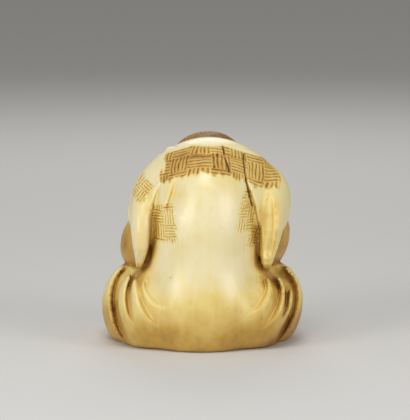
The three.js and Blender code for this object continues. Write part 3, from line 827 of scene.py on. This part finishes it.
def ivory_material():
    """Old ivory: a stain from 0 to 1, with painted shade in the hollows and towards the base in it,
    gathered from the mesh's attributes and noise, picks the tone.
    """
    material = bpy.data.materials.new("ivory")
    material.use_nodes = True
    nodes, links = material.node_tree.nodes, material.node_tree.links
    shader = nodes["Principled BSDF"]

    def node(kind, **settings):
        made = nodes.new(kind)
        for name, value in settings.items():
            setattr(made, name, value)
        return made

    def feed(target, value):
        if isinstance(value, bpy.types.NodeSocket):
            links.new(value, target)
        else:
            target.default_value = value

    def math_of(operation, *values):
        made = node("ShaderNodeMath", operation=operation)
        for target, value in zip(made.inputs, values):
            feed(target, value)
        return made.outputs[0]

    def noise(scale, detail, stretch=(1, 1, 1)):
        mapping = node("ShaderNodeMapping")
        mapping.inputs["Scale"].default_value = stretch
        links.new(node("ShaderNodeTexCoord").outputs["Object"], mapping.inputs["Vector"])
        made = node("ShaderNodeTexNoise")
        made.inputs["Scale"].default_value = scale / METRES_PER_MM
        made.inputs["Detail"].default_value = detail
        links.new(mapping.outputs["Vector"], made.inputs["Vector"])
        return made.outputs["Fac"]

    def ranged(value, low, high, new_low, new_high):
        made = node("ShaderNodeMapRange")
        for target, number in zip(made.inputs, (value, low, high, new_low, new_high)):
            feed(target, number)
        return made.outputs["Result"]

    def attribute(name):
        return node("ShaderNodeAttribute", attribute_name=name).outputs["Fac"]

    hollow_shade_and_stain, cuts, tint_and_low_shade = attribute("hollow_shade_and_stain"), attribute("cut"), attribute("tint_and_low_shade")
    clouds = noise(0.16, 3)
    streaks = noise(1.1, 3, (1, 1, 0.07))
    specks = noise(2.6, 2)

    # The hollows darkened: painted shade, with the stain that gathers in them.
    hollow = ranged(hollow_shade_and_stain, 0.12, 0.95, 0.0, 0.70)
    hollow = math_of("MULTIPLY", hollow, ranged(clouds, 0.3, 0.7, 0.75, 1.2))
    cloud = ranged(clouds, 0.45, 0.75, 0.0, 0.14)
    grain = ranged(streaks, 0.45, 0.72, 0.0, 0.05)
    speck = ranged(specks, 0.70, 0.78, 0.0, 0.22)
    # The tint holds painted shade towards the base as well as the colours of the weave, the hair and the
    # sack.
    tinted = math_of("MULTIPLY", tint_and_low_shade, ranged(noise(0.25, 2), 0.35, 0.65, 0.28, 0.38))
    tinted = math_of("MULTIPLY", tinted, math_of("SUBTRACT", 1.0, hollow))
    cut_in = math_of("MULTIPLY", cuts, ranged(noise(0.7, 2), 0.3, 0.7, 0.38, 0.62))
    # This adds the painted shade of the hollows to the clouds, grain, specks, tint and cut lines.
    stain_and_shade = math_of("ADD", math_of("ADD", hollow, cloud), math_of("ADD", grain, speck))
    stain_and_shade = math_of("ADD", stain_and_shade, math_of("ADD", tinted, cut_in))

    ramp = node("ShaderNodeValToRGB")
    elements = ramp.color_ramp.elements
    for place, colour in IVORY_STAIN_AND_SHADE_TONES[1:-1]:
        elements.new(place).color = (*colour, 1)
    elements[0].color = (*IVORY_STAIN_AND_SHADE_TONES[0][1], 1)
    elements[-1].color = (*IVORY_STAIN_AND_SHADE_TONES[-1][1], 1)
    links.new(stain_and_shade, ramp.inputs["Fac"])
    links.new(ramp.outputs["Color"], shader.inputs["Base Color"])

    links.new(ranged(stain_and_shade, 0.0, 0.8, 0.27, 0.55), shader.inputs["Roughness"])
    shader.inputs["Subsurface Weight"].default_value = 0.12
    shader.inputs["Subsurface Radius"].default_value = (1.0, 0.6, 0.3)
    shader.inputs["Subsurface Scale"].default_value = 0.0008

    bump = node("ShaderNodeBump")
    bump.inputs["Strength"].default_value = 0.12
    bump.inputs["Distance"].default_value = 0.05 * METRES_PER_MM
    links.new(noise(3.5, 4), bump.inputs["Height"])
    links.new(bump.outputs["Normal"], shader.inputs["Normal"])
    return material


netsuke.data.materials.append(ivory_material())
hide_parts("carved_figure")
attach(netsuke, "root")

# ---------------------------------------------------------------- floor, light and camera
HEIGHT = CAD_HIGH.z - CAD_LOW.z
LIT_AT = Vector((0, 0, 0.64 * HEIGHT))      # what the lights point at


def plain_floor():
    side = 120 * HEIGHT         # far enough for its edge to be out of sight
    mesh = bpy.data.meshes.new("floor")
    corners = [(-side, -side, 0), (side, -side, 0), (side, side, 0), (-side, side, 0)]
    mesh.from_pydata(corners, [], [(0, 1, 2, 3)])
    floor = bpy.data.objects.new("floor", mesh)
    bpy.context.scene.collection.objects.link(floor)
    material = bpy.data.materials.new("floor")
    material.use_nodes = True
    shader = material.node_tree.nodes["Principled BSDF"]
    shader.inputs["Base Color"].default_value = (0.72, 0.71, 0.69, 1)
    shader.inputs["Roughness"].default_value = 0.9
    mesh.materials.append(material)


def soft_light(name, place, size, energy):
    """A square lamp. Its place and its size are given in heights of the figure."""
    light = bpy.data.lights.new(name, "AREA")
    light.energy = energy
    light.size = size * HEIGHT
    obj = bpy.data.objects.new(name, light)
    obj.location = LIT_AT + Vector(place) * HEIGHT
    obj.rotation_mode = "QUATERNION"
    obj.rotation_quaternion = Vector(place).to_track_quat("Z", "Y")
    bpy.context.scene.collection.objects.link(obj)


def studio():
    plain_floor()
    soft_light("left_soft_light", (6.6, 6.1, 3.2), 4.6, 0.34)
    soft_light("right_soft_light", (-7.2, 5.6, 3.2), 4.6, 0.29)
    soft_light("top_soft_light", (0.6, 4.5, 8.0), 4.0, 0.26)
    soft_light("front_fill", (0.0, -8.0, 6.0), 5.0, 0.20)
    world = bpy.data.worlds.new("studio")
    world.use_nodes = True
    background = world.node_tree.nodes["Background"]
    background.inputs["Color"].default_value = (0.9, 0.9, 0.88, 1)
    background.inputs["Strength"].default_value = 0.30
    bpy.context.scene.world = world
    bpy.context.scene.view_settings.view_transform = "Standard"


def camera():
    """Looks at the carved back from a little above, from far enough for a long lens."""
    elevation = math.radians(8.5)
    distance = 14 * HEIGHT
    frame_height = 2.018 * HEIGHT
    target = HEIGHT * Vector((-0.013, 0.027, 0.634))
    back = Vector((0, math.cos(elevation), math.sin(elevation)))
    data = bpy.data.cameras.new("camera")
    data.sensor_width = 36
    data.lens = data.sensor_width * distance / frame_height
    data.clip_start = 0.01
    obj = bpy.data.objects.new("camera", data)
    obj.location = target + back * distance
    obj.rotation_mode = "QUATERNION"
    obj.rotation_quaternion = back.to_track_quat("Z", "Y")
    bpy.context.scene.collection.objects.link(obj)
    bpy.context.scene.camera = obj


studio()
camera()
